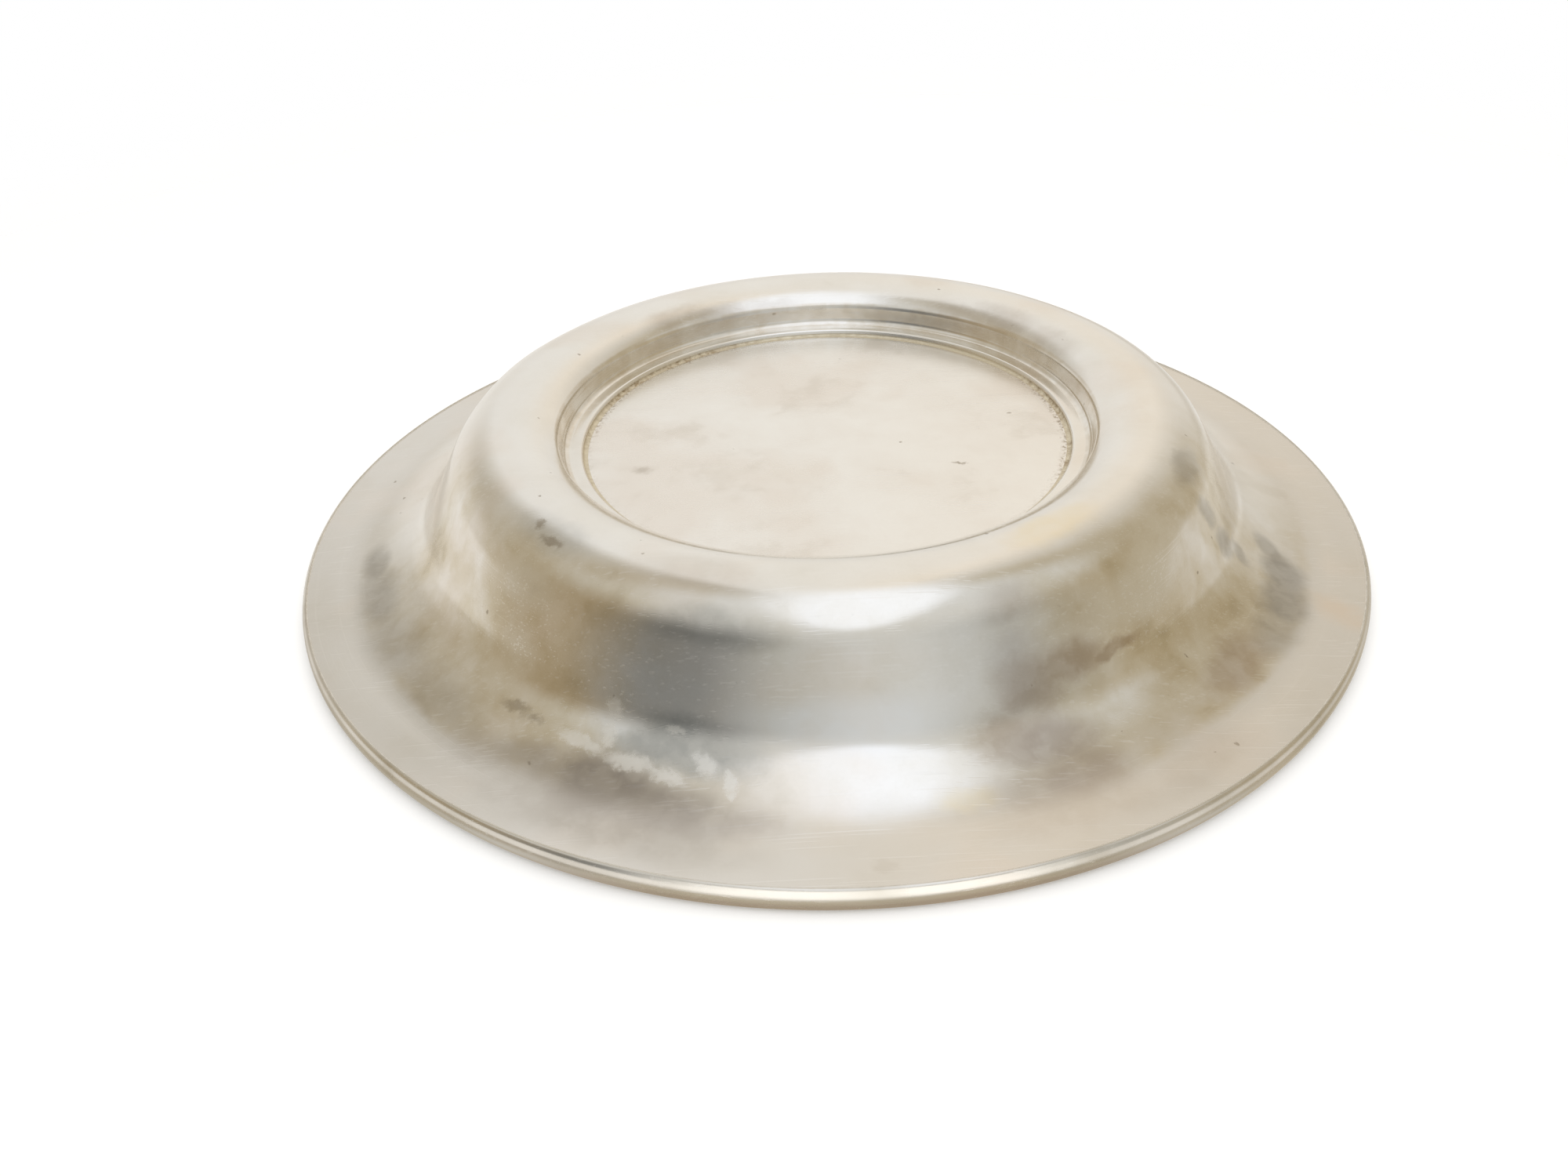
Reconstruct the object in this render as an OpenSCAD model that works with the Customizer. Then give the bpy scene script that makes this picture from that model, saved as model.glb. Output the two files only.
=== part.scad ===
// Shallow silver bowl with a wide brim, standing on a rounded foot ring.
// The bowl stands upright: +Z up, the table at z = 0, the axis of the bowl on Z.
// Every piece is turned about that axis, so each section is drawn as [radius, height].

/* [Overall] */
// Diameter over the rim wire
rim_d = 160; // [150:1:180]
// Height from the table to the top of the rim wire
overall_h = 22.75; // [21.5:0.25:26]
// Thickness of the sheet of the body
sheet_t = 1; // [0.8:0.1:1.2]

/* [Foot ring] */
// Diameter of the circle that the bowl stands on
foot_d = 93.5; // [86:0.5:98]
// Width of the flat worn on the foot
foot_flat_w = 1; // [0.6:0.1:2]
// Radius of the foot towards the recess
foot_inner_r = 9.2; // [8.4:0.1:10]
// Angle of that rounding
foot_inner_turn = 40; // [36:1:42]
// Radius of the lip above the riser
lip_r = 1.5; // [1.3:0.1:2]
// Radius of the foot towards the wall
foot_outer_r = 9.8; // [9:0.2:11]
// Angle of that rounding
foot_outer_turn = 22; // [19:1:26]

/* [Base recess] */
// Slope of the riser between the lip and the ledge
riser_slope = 80; // [76:1:84]
// Height of the ledge above the table
ledge_h = 5.65; // [5.3:0.05:6.5]
// Width of the ledge around its opening
ledge_w = 2.75; // [2.6:0.05:3.2]
// Radius of the bend from the riser to the ledge, on the upper side
ledge_bend_r = 1.3; // [1.25:0.05:1.4]
// Rounding of the lower edge of the opening
opening_edge_r = 0.4; // [0.2:0.05:0.4]

/* [Wall and brim] */
// Radius of the shoulder between the foot and the wall
shoulder_r = 10; // [9:0.2:12]
// Slope of the wall
wall_slope = 61.5; // [59:0.5:64]
// Radius of the bend out of the wall
bend_r = 9.2; // [8:0.2:11]
// Slope at which the bend passes into the wider flare
bend_slope = 29; // [26:1:33]
// Slope of the brim
brim_slope = 4; // [3:0.5:6]
// Width of the straight part of the brim, from the flare to its edge
brim_w = 5.4; // [4:0.1:7]

/* [Rim wire] */
// Height of the upright half-oval wire
wire_h = 3.25; // [2.8:0.05:3.8]
// Thickness of the wire
wire_t = 0.75; // [0.6:0.05:1.2]
// How far the wire reaches below the brim
wire_drop = 0.15; // [0.1:0.05:0.3]

/* [Base plate] */
// Thickness of the plate
plate_t = 1; // [0.8:0.1:1.4]
// Width of the plate that lies on the ledge
plate_lap = 1.8; // [1.4:0.1:1.9]
// Rounding of the plate's upper edge
plate_edge_r = 0.4; // [0.2:0.1:0.6]

/* [Solder] */
// Gap that the solder fills between the edge of the brim and the wire
solder_gap = 0.05; // [0.02:0.01:0.08]
// Width of the fillet between the brim and the wire, on the upper side
rim_fillet_w = 0.4; // [0.3:0.05:0.6]
// Width of the fillet at the base plate
base_fillet_w = 0.7; // [0.4:0.1:1]
// Height of the fillet at the base plate
base_fillet_h = 0.4; // [0.2:0.05:0.4]

/* [Hidden] */
$fn = 180;
// Largest turn of one chord of a rounded stretch, in degrees
arc_step = 4;
// Chords of a quarter turn of the wire and the solder
quarter_steps = ceil(45 / arc_step);

// Directions along the wall and the brim
along_wall = [cos(wall_slope), sin(wall_slope)];
along_brim = [cos(brim_slope), sin(brim_slope)];

// Upright back of the wire, and the edge of the brim that is soldered against it
wire_back_r = rim_d / 2 - wire_t;
wire_mid_h = overall_h - wire_h / 2;
brim_end_under = [wire_back_r - solder_gap, overall_h - wire_h + wire_drop];
brim_end_over = brim_end_under + [0, sheet_t / cos(brim_slope)];

// Underside from the foot outward, up to where the bend leaves the wall
foot_outer_start = [(foot_d + foot_flat_w) / 2, 0];
foot_outer_end = last(arc(foot_outer_start, 0, foot_outer_r, foot_outer_turn));
shoulder_end = last(arc(foot_outer_end, foot_outer_turn, shoulder_r, wall_slope - foot_outer_turn));
bend_end = last(arc([0, 0], wall_slope, bend_r, bend_slope - wall_slope));
along_flare = last(arc([0, 0], bend_slope, 1, brim_slope - bend_slope));

// Length of the wall and radius of the flare, which reach from the shoulder to the brim
wall_and_flare = brim_end_under - brim_w * along_brim - shoulder_end - bend_end;
wall_len = cross(wall_and_flare, along_flare) / cross(along_wall, along_flare);
flare_r = cross(along_wall, wall_and_flare) / cross(along_wall, along_flare);

// Underside from the foot inward, up to the corner of the riser and the ledge
foot_inner_start = [(foot_d - foot_flat_w) / 2, 0];
foot_inner_end = last(arc(foot_inner_start, 180, foot_inner_r, -foot_inner_turn));
riser_start = last(arc(foot_inner_end, 180 - foot_inner_turn, lip_r, foot_inner_turn - riser_slope));
riser_len = (ledge_h - riser_start.y) / sin(riser_slope);
riser_end = riser_start + riser_len * [-cos(riser_slope), sin(riser_slope)];

// Opening in the ledge, and the plate that closes it from above
opening_r = riser_end.x - ledge_w;
ledge_top = ledge_h + sheet_t;
plate_r = opening_r + plate_lap;

function quarter_angle(i) = 90 * i / quarter_steps;
function last(points) = points[len(points) - 1];
function reversed(points) = [for (i = [len(points) - 1:-1:0]) points[i]];

// Points of an arc that leaves p along a heading and turns left for a positive turn
function arc(p, heading, r, turn) =
    let (side = sign(turn))
    let (centre = p + r * side * [-sin(heading), cos(heading)])
    let (steps = ceil(abs(turn) / arc_step))
    [for (i = [1:steps]) let (a = heading + turn * i / steps) centre + r * side * [sin(a), -cos(a)]];

// Joined stretches from p: [radius, turn] is an arc and [length] is a line
function path(p, heading, stretches, i = 0) =
    i == len(stretches) ? [p] :
    let (s = stretches[i])
    let (turn = len(s) == 2 ? s[1] : 0)
    let (run = turn != 0 ? arc(p, heading, s[0], turn) : [p + s[0] * [cos(heading), sin(heading)]])
    concat([p], [for (k = [0:1:len(run) - 2]) run[k]], path(last(run), heading + turn, stretches, i + 1));

// The sheet from the foot out to the flare, at a depth above the underside
function outward_side(depth) = path(foot_outer_start + [0, depth], 0, [
    [foot_outer_r - depth, foot_outer_turn],
    [shoulder_r - depth, wall_slope - foot_outer_turn],
    [wall_len],
    [bend_r + depth, bend_slope - wall_slope],
    [flare_r + depth, brim_slope - bend_slope],
]);

// The sheet from the foot in to the edge of the opening, on the underside
function under_inward_side() = concat(
    path(foot_inner_start, 180, [
        [foot_inner_r, -foot_inner_turn],
        [lip_r, foot_inner_turn - riser_slope],
        [riser_len],
    ]),
    path([opening_r + opening_edge_r, ledge_h], 180, [[opening_edge_r, -90]]));

// The same on the upper side, where the bend to the ledge is round
function over_inward_side() =
    let (rise = ledge_top - riser_start.y - sheet_t * cos(riser_slope))
    path(foot_inner_start + [0, sheet_t], 180, [
        [foot_inner_r - sheet_t, -foot_inner_turn],
        [lip_r - sheet_t, foot_inner_turn - riser_slope],
        [rise / sin(riser_slope) - ledge_bend_r * tan(riser_slope / 2)],
        [ledge_bend_r, riser_slope],
    ]);

// A point of the rim solder, which follows the slope of the brim inside its edge
function at_brim(end, in, up) =
    let (r = wire_back_r - in)
    [r, end.y + up - max(0, end.x - r) * tan(brim_slope)];

// Sheet turned to the brim, wall, foot ring and stepped recess, with an opening in the ledge
module bowl_body() {
    color([0.82, 0.80, 0.75])
    rotate_extrude()
    polygon(concat(
        reversed(under_inward_side()),
        outward_side(0),
        [brim_end_under, brim_end_over],
        reversed(outward_side(sheet_t)),
        over_inward_side(),
        [[opening_r, ledge_top]]
    ));
}

// Flat disc that lies on the ledge and closes the opening
module base_plate() {
    top = ledge_top + plate_t;
    color([0.88, 0.86, 0.82])
    rotate_extrude()
    polygon(concat(
        [[0, top], [0, ledge_top], [plate_r, ledge_top], [plate_r, top - plate_edge_r]],
        arc([plate_r, top - plate_edge_r], 90, plate_edge_r, 90)
    ));
}

// Half-oval wire that stands around the edge of the brim
module rim_wire() {
    color([0.80, 0.77, 0.71])
    rotate_extrude()
    polygon([for (i = [-quarter_steps:quarter_steps])
        let (a = quarter_angle(i))
        [wire_back_r + wire_t * cos(a), wire_mid_h + wire_h / 2 * sin(a)]]);
}

// Hollow fillet in the corner of the opening and the plate
module base_solder_seam() {
    color([0.55, 0.45, 0.30])
    rotate_extrude()
    polygon(concat(
        [[opening_r, ledge_top]],
        [for (i = [quarter_steps:-1:0])
            let (a = quarter_angle(i))
            [opening_r, ledge_top] + [base_fillet_w * (cos(a) - 1), base_fillet_h * (sin(a) - 1)]]
    ));
}

// Solder in the gap between the brim and the wire, with a hollow fillet below and one above
module rim_solder_seam() {
    color([0.62, 0.57, 0.48])
    rotate_extrude()
    polygon(concat(
        [for (i = [0:quarter_steps])
            let (a = quarter_angle(i))
            at_brim(brim_end_under, (wire_drop + solder_gap) * (1 - sin(a)), wire_drop * (cos(a) - 1))],
        [for (i = [quarter_steps:-1:0])
            let (a = quarter_angle(i))
            at_brim(brim_end_over, (rim_fillet_w + solder_gap) * (1 - sin(a)), rim_fillet_w * (1 - cos(a)))],
        [brim_end_over, brim_end_under]
    ));
}

bowl_body();
base_plate();
rim_wire();
base_solder_seam();
rim_solder_seam();
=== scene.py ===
import math
from types import SimpleNamespace

import bmesh
import bpy
import numpy as np
from mathutils import Matrix


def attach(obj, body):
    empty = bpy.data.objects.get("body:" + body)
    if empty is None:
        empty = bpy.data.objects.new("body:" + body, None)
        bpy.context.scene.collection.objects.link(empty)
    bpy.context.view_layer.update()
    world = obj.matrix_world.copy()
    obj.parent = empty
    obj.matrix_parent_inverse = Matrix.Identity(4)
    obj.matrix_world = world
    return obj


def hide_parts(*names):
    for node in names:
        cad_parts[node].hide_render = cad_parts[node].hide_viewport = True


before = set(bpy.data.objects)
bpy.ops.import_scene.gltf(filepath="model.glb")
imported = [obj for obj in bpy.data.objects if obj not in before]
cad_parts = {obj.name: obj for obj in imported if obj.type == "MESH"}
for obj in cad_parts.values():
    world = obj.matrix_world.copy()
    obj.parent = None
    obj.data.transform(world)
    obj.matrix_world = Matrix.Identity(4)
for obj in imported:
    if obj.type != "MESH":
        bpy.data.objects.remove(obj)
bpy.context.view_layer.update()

# One millimetre in metres
MM = 0.001

# Sizes of the solids, in millimetres and degrees
RIM_D = 160
OVERALL_H = 22.75
SHEET_T = 1
FOOT_D = 93.5
FOOT_FLAT_W = 1
FOOT_INNER_R = 9.2
FOOT_INNER_TURN = 40
LIP_R = 1.5
FOOT_OUTER_R = 9.8
FOOT_OUTER_TURN = 22
RISER_SLOPE = 80
LEDGE_H = 5.65
LEDGE_W = 2.75
LEDGE_BEND_R = 1.3
OPENING_EDGE_R = 0.4
COVE_R = 1.2
SHOULDER_R = 10
WALL_SLOPE = 61.5
BEND_R = 9.2
BEND_SLOPE = 29
BRIM_SLOPE = 4
BRIM_W = 5.4
WIRE_H = 3.25
WIRE_T = 0.75
WIRE_DROP = 0.15
PLATE_T = 1
PLATE_LAP = 1.8
PLATE_EDGE_R = 0.4
SOLDER_GAP = 0.05
RIM_FILLET_W = 0.4
BASE_FILLET_W = 0.7
BASE_FILLET_H = 0.4

# Fineness of the turned meshes, in millimetres and degrees
SEGMENTS = 320
LINE_STEP = 0.7
PLATE_STEP = 0.8
ARC_STEP = 3.0
EDGE_STEP = 15
WIRE_STEP = 5
BASE_SEAM_STEP = 9
SHARP_ANGLE = 40
POLE_MERGE = 1e-7

# Insets that keep the turned pieces inside the box of the solids
BOX_INSET = 0.03
TOP_INSET = BOX_INSET / 4

# Low waves of the hand-raised sheet, and the radii between which they rise and fade
WAVE_HEIGHT = 0.08
WAVE_COUNT = 26
WAVE_SEED = 11
WAVES_AROUND = (2, 15)
WAVES_ACROSS = (0.02, 0.16)
WAVE_SHARE = (0.3, 1.0)
WAVE_EVEN_COUNT = 4
WAVE_RISE = (49, 54)
WAVE_FADE = (74, 78.5)

# Lean of the sheet at a few radii
SHEET_LEAN = [
    (49, 10), (51, FOOT_OUTER_TURN), (56, WALL_SLOPE), (60, WALL_SLOPE),
    (63.6, BEND_SLOPE), (73.8, BRIM_SLOPE), (79, BRIM_SLOPE),
]

# Camera: lens, tilt, roll and distance from the middle of the rim, and where that middle lies in the picture
PICTURE_W = 2000
PICTURE_H = 1500
FOCAL_PX = 1686.4
SENSOR_W = 36.0
CLIP_START = 0.01
TILT = 34.6184
ROLL = -2.6466
DISTANCE = 208.928
RIM_MIDDLE_PX = (1055.375, 654.637)
RIM_MIDDLE_Z = 20.52


# Section geometry
def direction(angle):
    a = math.radians(angle)
    return np.array([math.cos(a), math.sin(a)])


def cross(a, b):
    return a[0] * b[1] - a[1] * b[0]


def arc(p, heading, r, turn, step=ARC_STEP):
    """Points of an arc that leaves p along a heading and turns left for a positive turn."""
    side = 1 if turn > 0 else -1
    centre = np.array(p) + r * side * direction(heading + 90)
    count = max(1, math.ceil(abs(turn) / step))
    angles = [heading + turn * (i + 1) / count for i in range(count)]
    return [centre - r * side * direction(a + 90) for a in angles]


def line(p, q, step=LINE_STEP):
    """Points from p to q, without p."""
    p, q = np.array(p, float), np.array(q, float)
    count = max(1, math.ceil(np.linalg.norm(q - p) / step))
    return [p + (q - p) * (i + 1) / count for i in range(count)]


def path(p, heading, stretches):
    """Joined stretches from p: a pair is the radius and turn of an arc, a number is a line."""
    points = [np.array(p, float)]
    for s in stretches:
        if isinstance(s, tuple):
            points += arc(points[-1], heading, s[0], s[1])
            heading += s[1]
        else:
            points += line(points[-1], points[-1] + s * direction(heading))
    return points


# Places that the pieces share, worked out as in the solids
along_wall = direction(WALL_SLOPE)
along_brim = direction(BRIM_SLOPE)
wire_back_r = RIM_D / 2 - BOX_INSET - WIRE_T
wire_mid_h = OVERALL_H - TOP_INSET - WIRE_H / 2
brim_end_under = np.array([wire_back_r - SOLDER_GAP, wire_mid_h - WIRE_H / 2 + WIRE_DROP])
brim_end_over = brim_end_under + [0, SHEET_T / along_brim[0]]

foot_outer_start = np.array([(FOOT_D + FOOT_FLAT_W) / 2, 0.0])
foot_outer_end = arc(foot_outer_start, 0, FOOT_OUTER_R, FOOT_OUTER_TURN)[-1]
shoulder_end = arc(foot_outer_end, FOOT_OUTER_TURN, SHOULDER_R, WALL_SLOPE - FOOT_OUTER_TURN)[-1]
bend_end = arc([0, 0], WALL_SLOPE, BEND_R, BEND_SLOPE - WALL_SLOPE)[-1]
along_flare = arc([0, 0], BEND_SLOPE, 1, BRIM_SLOPE - BEND_SLOPE)[-1]
wall_and_flare = brim_end_under - BRIM_W * along_brim - shoulder_end - bend_end
wall_len = cross(wall_and_flare, along_flare) / cross(along_wall, along_flare)
flare_r = cross(along_wall, wall_and_flare) / cross(along_wall, along_flare)

foot_inner_start = np.array([(FOOT_D - FOOT_FLAT_W) / 2, 0.0])
foot_inner_end = arc(foot_inner_start, 180, FOOT_INNER_R, -FOOT_INNER_TURN)[-1]
riser_start = arc(foot_inner_end, 180 - FOOT_INNER_TURN, LIP_R, FOOT_INNER_TURN - RISER_SLOPE)[-1]
riser_len = (LEDGE_H - riser_start[1]) / math.sin(math.radians(RISER_SLOPE))
riser_end = riser_start + riser_len * direction(180 - RISER_SLOPE)
opening_r = riser_end[0] - LEDGE_W
ledge_top = LEDGE_H + SHEET_T
plate_r = opening_r + PLATE_LAP


def outward_side(depth):
    """The sheet from the foot out to the flat of the brim, at a depth above the underside."""
    return path(foot_outer_start + [0, depth], 0, [
        (FOOT_OUTER_R - depth, FOOT_OUTER_TURN),
        (SHOULDER_R - depth, WALL_SLOPE - FOOT_OUTER_TURN),
        wall_len,
        (BEND_R + depth, BEND_SLOPE - WALL_SLOPE),
        (flare_r + depth, BRIM_SLOPE - BEND_SLOPE),
    ])


def under_inward_side():
    """The sheet from the foot in to the edge of the opening, on the underside."""
    slope = path(foot_inner_start, 180, [
        (FOOT_INNER_R, -FOOT_INNER_TURN),
        (LIP_R, FOOT_INNER_TURN - RISER_SLOPE),
        riser_len - COVE_R * math.tan(math.radians(RISER_SLOPE / 2)),
        (COVE_R, RISER_SLOPE),
    ])
    edge = np.array([opening_r + OPENING_EDGE_R, LEDGE_H])
    return slope + line(slope[-1], edge) + arc(edge, 180, OPENING_EDGE_R, -90, EDGE_STEP)


def over_inward_side():
    """The same on the upper side, where the bend to the ledge is round."""
    rise = ledge_top - riser_start[1] - SHEET_T * direction(RISER_SLOPE)[0]
    straight = rise / direction(RISER_SLOPE)[1] - LEDGE_BEND_R * math.tan(math.radians(RISER_SLOPE / 2))
    slope = path(foot_inner_start + [0, SHEET_T], 180, [
        (FOOT_INNER_R - SHEET_T, -FOOT_INNER_TURN),
        (LIP_R - SHEET_T, FOOT_INNER_TURN - RISER_SLOPE),
        straight,
        (LEDGE_BEND_R, RISER_SLOPE),
    ])
    return slope + line(slope[-1], [opening_r, ledge_top])


def at_brim(end, inward, up):
    """A point of the rim solder, which follows the slope of the brim inside its edge."""
    r = wire_back_r - inward
    return np.array([r, end[1] + up - max(0.0, end[0] - r) * along_brim[1] / along_brim[0]])


# Waves of the sheet
def waves(angle, place):
    """Height of the low waves of the sheet at an angle and a place along the section."""
    rng = np.random.default_rng(WAVE_SEED)
    total = np.zeros(np.broadcast(angle, place).shape)
    for _ in range(WAVE_COUNT):
        around = int(rng.integers(*WAVES_AROUND))
        across = rng.uniform(*WAVES_ACROSS)
        phases = rng.uniform(0, 2 * math.pi, 2)
        share = rng.uniform(*WAVE_SHARE) / math.sqrt(WAVE_COUNT / WAVE_EVEN_COUNT)
        total = total + share * np.sin(around * angle + phases[0]) * np.sin(across * place + phases[1])
    return WAVE_HEIGHT * total


def smooth(value, low, high):
    t = np.clip((value - low) / (high - low), 0, 1)
    return t * t * (3 - 2 * t)


def body_wave(angle, section):
    """Shift of the sheet, the same on both sides, and none at the ledge, the foot and the wire."""
    r = section[:, 0]
    mask = smooth(r, *WAVE_RISE) * (1 - smooth(r, *WAVE_FADE))
    height = waves(angle, r[None, :]) * mask[None, :]
    lean = np.radians(np.interp(r, *zip(*SHEET_LEAN)))
    return height * np.sin(lean)[None, :], -height * np.cos(lean)[None, :]


# Turned meshes
def close_poles(mesh):
    """Joins the points that lie on the axis into one at each end of an open section."""
    work = bmesh.new()
    work.from_mesh(mesh)
    bmesh.ops.remove_doubles(work, verts=work.verts, dist=POLE_MERGE)
    work.to_mesh(mesh)
    work.free()


def turned(name, points, wave=None, closed=True):
    """A mesh turned about Z from section points, with a map around and along the section."""
    section = np.array(points)
    count = len(section)
    angles = np.arange(SEGMENTS) * 2 * math.pi / SEGMENTS
    r = np.repeat(section[None, :, 0], SEGMENTS, 0)
    z = np.repeat(section[None, :, 1], SEGMENTS, 0)
    if wave is not None:
        dr, dz = wave(angles[:, None], section)
        r = r + dr
        z = z + dz
    x = r * np.cos(angles)[:, None]
    y = r * np.sin(angles)[:, None]
    verts = np.stack([x, y, z], 2).reshape(-1, 3) * MM
    last = count if closed else count - 1
    i, j = np.meshgrid(np.arange(SEGMENTS), np.arange(last), indexing="ij")
    i, j = i.ravel(), j.ravel()
    ni, nj = (i + 1) % SEGMENTS, (j + 1) % count
    faces = np.stack([i * count + j, ni * count + j, ni * count + nj, i * count + nj], 1)
    mesh = bpy.data.meshes.new(name)
    mesh.from_pydata(verts.tolist(), [], faces.tolist())
    lengths = np.linalg.norm(np.diff(np.vstack([section, section[:1]]), axis=0), axis=1)
    along = np.concatenate([[0], np.cumsum(lengths)]) / lengths.sum()
    u0, u1 = i / SEGMENTS, (i + 1) / SEGMENTS
    v0, v1 = along[j], along[j + 1]
    corners = [(u0, v0), (u1, v0), (u1, v1), (u0, v1)]
    uv = np.stack([np.stack(corner, 1) for corner in corners], 1)
    layer = mesh.uv_layers.new(name="OFBake")
    layer.data.foreach_set("uv", uv.reshape(-1).astype(np.float32))
    if not closed:
        close_poles(mesh)
    return mesh


def finish_piece(name, mesh, node, slot, *materials):
    """Puts a mesh in the scene in the place of its solid."""
    mesh.polygons.foreach_set("use_smooth", np.ones(len(mesh.polygons), bool))
    mesh.set_sharp_from_angle(angle=math.radians(SHARP_ANGLE))
    for material in materials:
        mesh.materials.append(material)
    piece = bpy.data.objects.new(name, mesh)
    bpy.context.scene.collection.objects.link(piece)
    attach(piece, "root")
    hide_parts(node)


# Node helpers
def node(tree, kind, values=None, **props):
    made = tree.nodes.new(kind)
    for key, value in props.items():
        setattr(made, key, value)
    for key, value in (values or {}).items():
        if isinstance(value, bpy.types.NodeSocket):
            tree.links.new(value, made.inputs[key])
        else:
            made.inputs[key].default_value = value
    return made


def calc(tree, operation, a, b=0.0, c=0.0):
    return node(tree, "ShaderNodeMath", {0: a, 1: b, 2: c}, operation=operation).outputs[0]


def vector(tree, operation, values, output=0):
    return node(tree, "ShaderNodeVectorMath", values, operation=operation).outputs[output]


def step(tree, value, low, high, to_low=0.0, to_high=1.0):
    return node(tree, "ShaderNodeMapRange", {0: value, 1: low, 2: high, 3: to_low, 4: to_high},
                interpolation_type="SMOOTHSTEP").outputs[0]


def blend(tree, share, a, b):
    return node(tree, "ShaderNodeMix", {0: share, 6: a, 7: b}, data_type="RGBA").outputs[2]


def coat(tree, colour, share, strength, tone):
    return blend(tree, calc(tree, "MULTIPLY", share, strength), colour, tone)


def added(tree, total, share, strength):
    return calc(tree, "ADD", total, calc(tree, "MULTIPLY", share, strength))


def noise(tree, place, scale, detail=2.0, roughness=0.5, distortion=0.0):
    return node(tree, "ShaderNodeTexNoise", {
        "Vector": place, "Scale": scale, "Detail": detail, "Roughness": roughness, "Distortion": distortion,
    }).outputs["Fac"]


def local_place(tree):
    return node(tree, "ShaderNodeTexCoord").outputs["Object"]


def split(tree, place):
    return node(tree, "ShaderNodeSeparateXYZ", {0: place}).outputs


def length(tree, place):
    return vector(tree, "LENGTH", {0: place}, "Value")


def flat_length(tree, place):
    """Distance of a place from the axis."""
    return length(tree, vector(tree, "MULTIPLY", {0: place, 1: (1, 1, 0)}))


def new_material(name):
    material = bpy.data.materials.new(name)
    material.use_nodes = True
    tree = material.node_tree
    tree.nodes.clear()
    return material, tree


def show(tree, shader):
    node(tree, "ShaderNodeOutputMaterial", {"Surface": shader})


def show_metal(tree, colour, metal, dull, bump):
    shader = node(tree, "ShaderNodeBsdfPrincipled", {
        "Base Color": colour, "Metallic": metal, "Roughness": dull, "Normal": bump,
    }).outputs[0]
    show(tree, shader)


# Uneven places on the silver: scale per millimetre and reach in millimetres
LOOSE = (0.25, 3.0)
RAGGED = (0.9, 2.2)
GENTLE = (0.07, 4.0)
WARP_DETAIL = 4.0
WARP_ROUGHNESS = 0.6

# Noises on the silver: scale per millimetre, detail, roughness and distortion
HAZE = (0.04, 4.0, 0.55)
CLOUD = (0.085, 3.0, 0.5, 0.3)
MOTTLE = (0.30, 3.0, 0.5)
GRAIN = (2.4, 3.0, 0.6)
TINT = (0.055, 2.0, 0.5)
CRUMBS = (1.5, 4.0, 0.65)

# Underside, by the upward share of the normal
UNDERSIDE = (0.06, -0.06)

# Bare metal: the radii where the outer tone starts, and the haze and warm tint over it
OUTER_START = (66.0, 71.0)
HAZE_LIMITS = (0.35, 0.65, 0.0, 0.25)
HAZE_MIX = 0.5
TINT_LIMITS = (0.5, 0.68, 0.0, 0.4)
TINT_TONE = (0.88, 0.80, 0.72, 1)
GRAIN_LIMITS = (0.4, 0.8)
GRAIN_SHARE = 0.05
GRAIN_TONE = (0.60, 0.57, 0.50, 1)
DULL_LIMITS = (0.3, 0.7)

# Tarnish: a belt of the wall and flare, with little in front and at the back, and less inside the bowl
BELT_START = (48.5, 54.5)
BELT_END = (72.2, 70.2)
FRONT = (-0.87, -0.95)
FRONT_LOSS = 0.75
BACK = (-0.08, -0.34, 0.12, 1.0)
INSIDE_SHARE = 0.4
UNDER_SHARE = 0.6
CLOUD_SHARE = 0.75
MOTTLE_SHARE = 0.25
STAIN_LIMITS = (0.30, 0.70)
STAIN_DULL = 0.07
DEEP_LIMITS = (0.56, 0.72)
DEEP_SHARE = 0.5
DEEP_TONE = (0.46, 0.40, 0.30, 1)

# Lines around the bowl and hairlines across it
RING_AROUND = 2.4
RING_ACROSS = 3.2
RING_LIMITS = (0.57, 0.75)
RING_SHARE = 0.4
HAIRLINE_TURNS = (0.35, 1.15, 2.1, 2.75)
HAIRLINE_LEAN = (0.3, 0.2)
HAIRLINE_STRETCH = (0.03, 2.6, 2.6)
HAIRLINE_NOISE = (1.0, 1.0, 0.4)
HAIRLINE_LIMITS = (0.69, 0.74)
LINE_SHARE = 0.20
LINE_TONE = (0.98, 0.97, 0.95, 1)
LINE_DULL = 0.06

# Specks, in a few of many cells
SPECK_SCALE = 0.28
SPECK_SIZE = (0.10, 0.045)
SPECK_CHANCE = (0.84, 0.88)
SPECK_SHARE = 0.55
SPECK_TONE = (0.22, 0.17, 0.10, 1)

# Single marks
MARK_INNER_SOFT = 0.4
PATCH_LIMITS = (0.35, 0.62, 0.75, 1.0)
PALE_SHARE = 0.75
PALE_TONE = (0.97, 0.96, 0.93, 1)
PALE_DULL = 0.25
DARK_TONE = (0.27, 0.21, 0.13, 1)
DARK_DULL = 0.2

# Dull band on the riser of the recess
RISER_EDGE = 0.3
RISER_TOP = (6.2, 5.8)
RISER_RINGS = 0.4
RISER_MOTTLE = (0.35, 0.65, 0.1, 0.5)
RISER_TONE = (0.72, 0.64, 0.52, 1)
RISER_DULL = 0.10

# Residue around the disc, heavy on two sides
CRUST_AIM = (0.8, 0.6)
CRUST_AIM_LIMITS = (0.76, 0.95)
CRUST_WEST_LIMITS = (-0.84, -0.96)
CRUMB_LIMITS = (0.44, 0.60)
CRUST_HEAVY = 0.65
CRUST_LIGHT = 0.15
CRUST_TONE = (0.36, 0.27, 0.16, 1)
CRUST_DULL = 0.4

# Fine relief of the silver, in shares and metres
LINE_RELIEF = -0.6
GRAIN_RELIEF = 0.1
RELIEF_STRENGTH = 0.3
RELIEF_HEIGHT = 0.00002

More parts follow.
